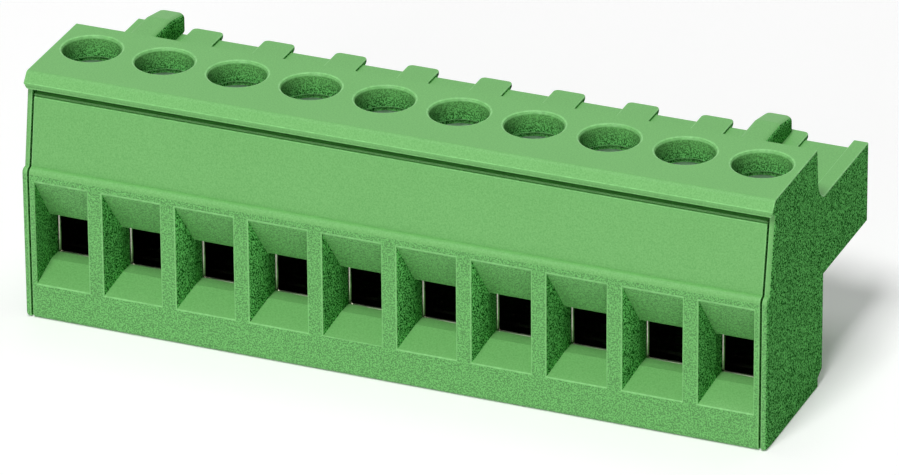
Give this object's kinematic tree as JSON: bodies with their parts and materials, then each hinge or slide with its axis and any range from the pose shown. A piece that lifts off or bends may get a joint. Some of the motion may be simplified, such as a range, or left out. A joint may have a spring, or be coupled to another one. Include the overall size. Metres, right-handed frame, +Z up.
{
  "type": "pluggable terminal block",
  "caption": "Pluggable screw terminal block: wires enter funnels at the front, rising clamps grip them, and sockets at the back push onto a pin header.",
  "frame": {"origin": "centre of the bounding box's bottom face, on the flat underside", "axes": "+X along the row of poles, -Y out of the wire entries, +Y out of the plug section, +Z up towards the screwdriver holes"},
  "size_m": [0.0508, 0.0184, 0.017],
  "materials": {
    "green_polyamide": "satin moulded, fine grain",
    "zinc_plated_steel": "zinc plated, bright",
    "nickel_plated_steel": "nickel plated, stamped",
    "tinned_copper_alloy": "tin plated, satin"
  },
  "bodies": {
    "block": {"housing": "green_polyamide", "front_cover": "green_polyamide", "contact_01": "tinned_copper_alloy", "contact_02": "tinned_copper_alloy", "contact_03": "tinned_copper_alloy", "contact_04": "tinned_copper_alloy", "contact_05": "tinned_copper_alloy", "contact_06": "tinned_copper_alloy", "contact_07": "tinned_copper_alloy", "contact_08": "tinned_copper_alloy", "contact_09": "tinned_copper_alloy", "contact_10": "tinned_copper_alloy"},
    "screw_01": {"screw_01": "zinc_plated_steel"},
    "clamp_01": {"clamp_01": "nickel_plated_steel"},
    "screw_02": {"screw_02": "zinc_plated_steel"},
    "clamp_02": {"clamp_02": "nickel_plated_steel"},
    "screw_03": {"screw_03": "zinc_plated_steel"},
    "clamp_03": {"clamp_03": "nickel_plated_steel"},
    "screw_04": {"screw_04": "zinc_plated_steel"},
    "clamp_04": {"clamp_04": "nickel_plated_steel"},
    "screw_05": {"screw_05": "zinc_plated_steel"},
    "clamp_05": {"clamp_05": "nickel_plated_steel"},
    "screw_06": {"screw_06": "zinc_plated_steel"},
    "clamp_06": {"clamp_06": "nickel_plated_steel"},
    "screw_07": {"screw_07": "zinc_plated_steel"},
    "clamp_07": {"clamp_07": "nickel_plated_steel"},
    "screw_08": {"screw_08": "zinc_plated_steel"},
    "clamp_08": {"clamp_08": "nickel_plated_steel"},
    "screw_09": {"screw_09": "zinc_plated_steel"},
    "clamp_09": {"clamp_09": "nickel_plated_steel"},
    "screw_10": {"screw_10": "zinc_plated_steel"},
    "clamp_10": {"clamp_10": "nickel_plated_steel"}
  },
  "joints": [
    {"name": "screw_01_turn", "type": "hinge", "parent": "block", "child": "screw_01", "pos_m": [-0.02286, -0.0035, 0.01535], "axis": [0, 0, -1], "range_deg": [0, 2160]},
    {"name": "clamp_01_rise", "type": "slide", "parent": "block", "child": "clamp_01", "axis": [0, 0, 1], "range_m": [0, 0.003]},
    {"name": "screw_02_turn", "type": "hinge", "parent": "block", "child": "screw_02", "pos_m": [-0.01778, -0.0035, 0.01535], "axis": [0, 0, -1], "range_deg": [0, 2160]},
    {"name": "clamp_02_rise", "type": "slide", "parent": "block", "child": "clamp_02", "axis": [0, 0, 1], "range_m": [0, 0.003]},
    {"name": "screw_03_turn", "type": "hinge", "parent": "block", "child": "screw_03", "pos_m": [-0.0127, -0.0035, 0.01535], "axis": [0, 0, -1], "range_deg": [0, 2160]},
    {"name": "clamp_03_rise", "type": "slide", "parent": "block", "child": "clamp_03", "axis": [0, 0, 1], "range_m": [0, 0.003]},
    {"name": "screw_04_turn", "type": "hinge", "parent": "block", "child": "screw_04", "pos_m": [-0.00762, -0.0035, 0.01535], "axis": [0, 0, -1], "range_deg": [0, 2160]},
    {"name": "clamp_04_rise", "type": "slide", "parent": "block", "child": "clamp_04", "axis": [0, 0, 1], "range_m": [0, 0.003]},
    {"name": "screw_05_turn", "type": "hinge", "parent": "block", "child": "screw_05", "pos_m": [-0.00254, -0.0035, 0.01535], "axis": [0, 0, -1], "range_deg": [0, 2160]},
    {"name": "clamp_05_rise", "type": "slide", "parent": "block", "child": "clamp_05", "axis": [0, 0, 1], "range_m": [0, 0.003]},
    {"name": "screw_06_turn", "type": "hinge", "parent": "block", "child": "screw_06", "pos_m": [0.00254, -0.0035, 0.01535], "axis": [0, 0, -1], "range_deg": [0, 2160]},
    {"name": "clamp_06_rise", "type": "slide", "parent": "block", "child": "clamp_06", "axis": [0, 0, 1], "range_m": [0, 0.003]},
    {"name": "screw_07_turn", "type": "hinge", "parent": "block", "child": "screw_07", "pos_m": [0.00762, -0.0035, 0.01535], "axis": [0, 0, -1], "range_deg": [0, 2160]},
    {"name": "clamp_07_rise", "type": "slide", "parent": "block", "child": "clamp_07", "axis": [0, 0, 1], "range_m": [0, 0.003]},
    {"name": "screw_08_turn", "type": "hinge", "parent": "block", "child": "screw_08", "pos_m": [0.0127, -0.0035, 0.01535], "axis": [0, 0, -1], "range_deg": [0, 2160]},
    {"name": "clamp_08_rise", "type": "slide", "parent": "block", "child": "clamp_08", "axis": [0, 0, 1], "range_m": [0, 0.003]},
    {"name": "screw_09_turn", "type": "hinge", "parent": "block", "child": "screw_09", "pos_m": [0.01778, -0.0035, 0.01535], "axis": [0, 0, -1], "range_deg": [0, 2160]},
    {"name": "clamp_09_rise", "type": "slide", "parent": "block", "child": "clamp_09", "axis": [0, 0, 1], "range_m": [0, 0.003]},
    {"name": "screw_10_turn", "type": "hinge", "parent": "block", "child": "screw_10", "pos_m": [0.02286, -0.0035, 0.01535], "axis": [0, 0, -1], "range_deg": [0, 2160]},
    {"name": "clamp_10_rise", "type": "slide", "parent": "block", "child": "clamp_10", "axis": [0, 0, 1], "range_m": [0, 0.003]}
  ],
  "couplings": [
    {"joint": "screw_01_turn", "follows": "clamp_01_rise", "rad_per_m": 12566},
    {"joint": "screw_02_turn", "follows": "clamp_02_rise", "rad_per_m": 12566},
    {"joint": "screw_03_turn", "follows": "clamp_03_rise", "rad_per_m": 12566},
    {"joint": "screw_04_turn", "follows": "clamp_04_rise", "rad_per_m": 12566},
    {"joint": "screw_05_turn", "follows": "clamp_05_rise", "rad_per_m": 12566},
    {"joint": "screw_06_turn", "follows": "clamp_06_rise", "rad_per_m": 12566},
    {"joint": "screw_07_turn", "follows": "clamp_07_rise", "rad_per_m": 12566},
    {"joint": "screw_08_turn", "follows": "clamp_08_rise", "rad_per_m": 12566},
    {"joint": "screw_09_turn", "follows": "clamp_09_rise", "rad_per_m": 12566},
    {"joint": "screw_10_turn", "follows": "clamp_10_rise", "rad_per_m": 12566}
  ]
}
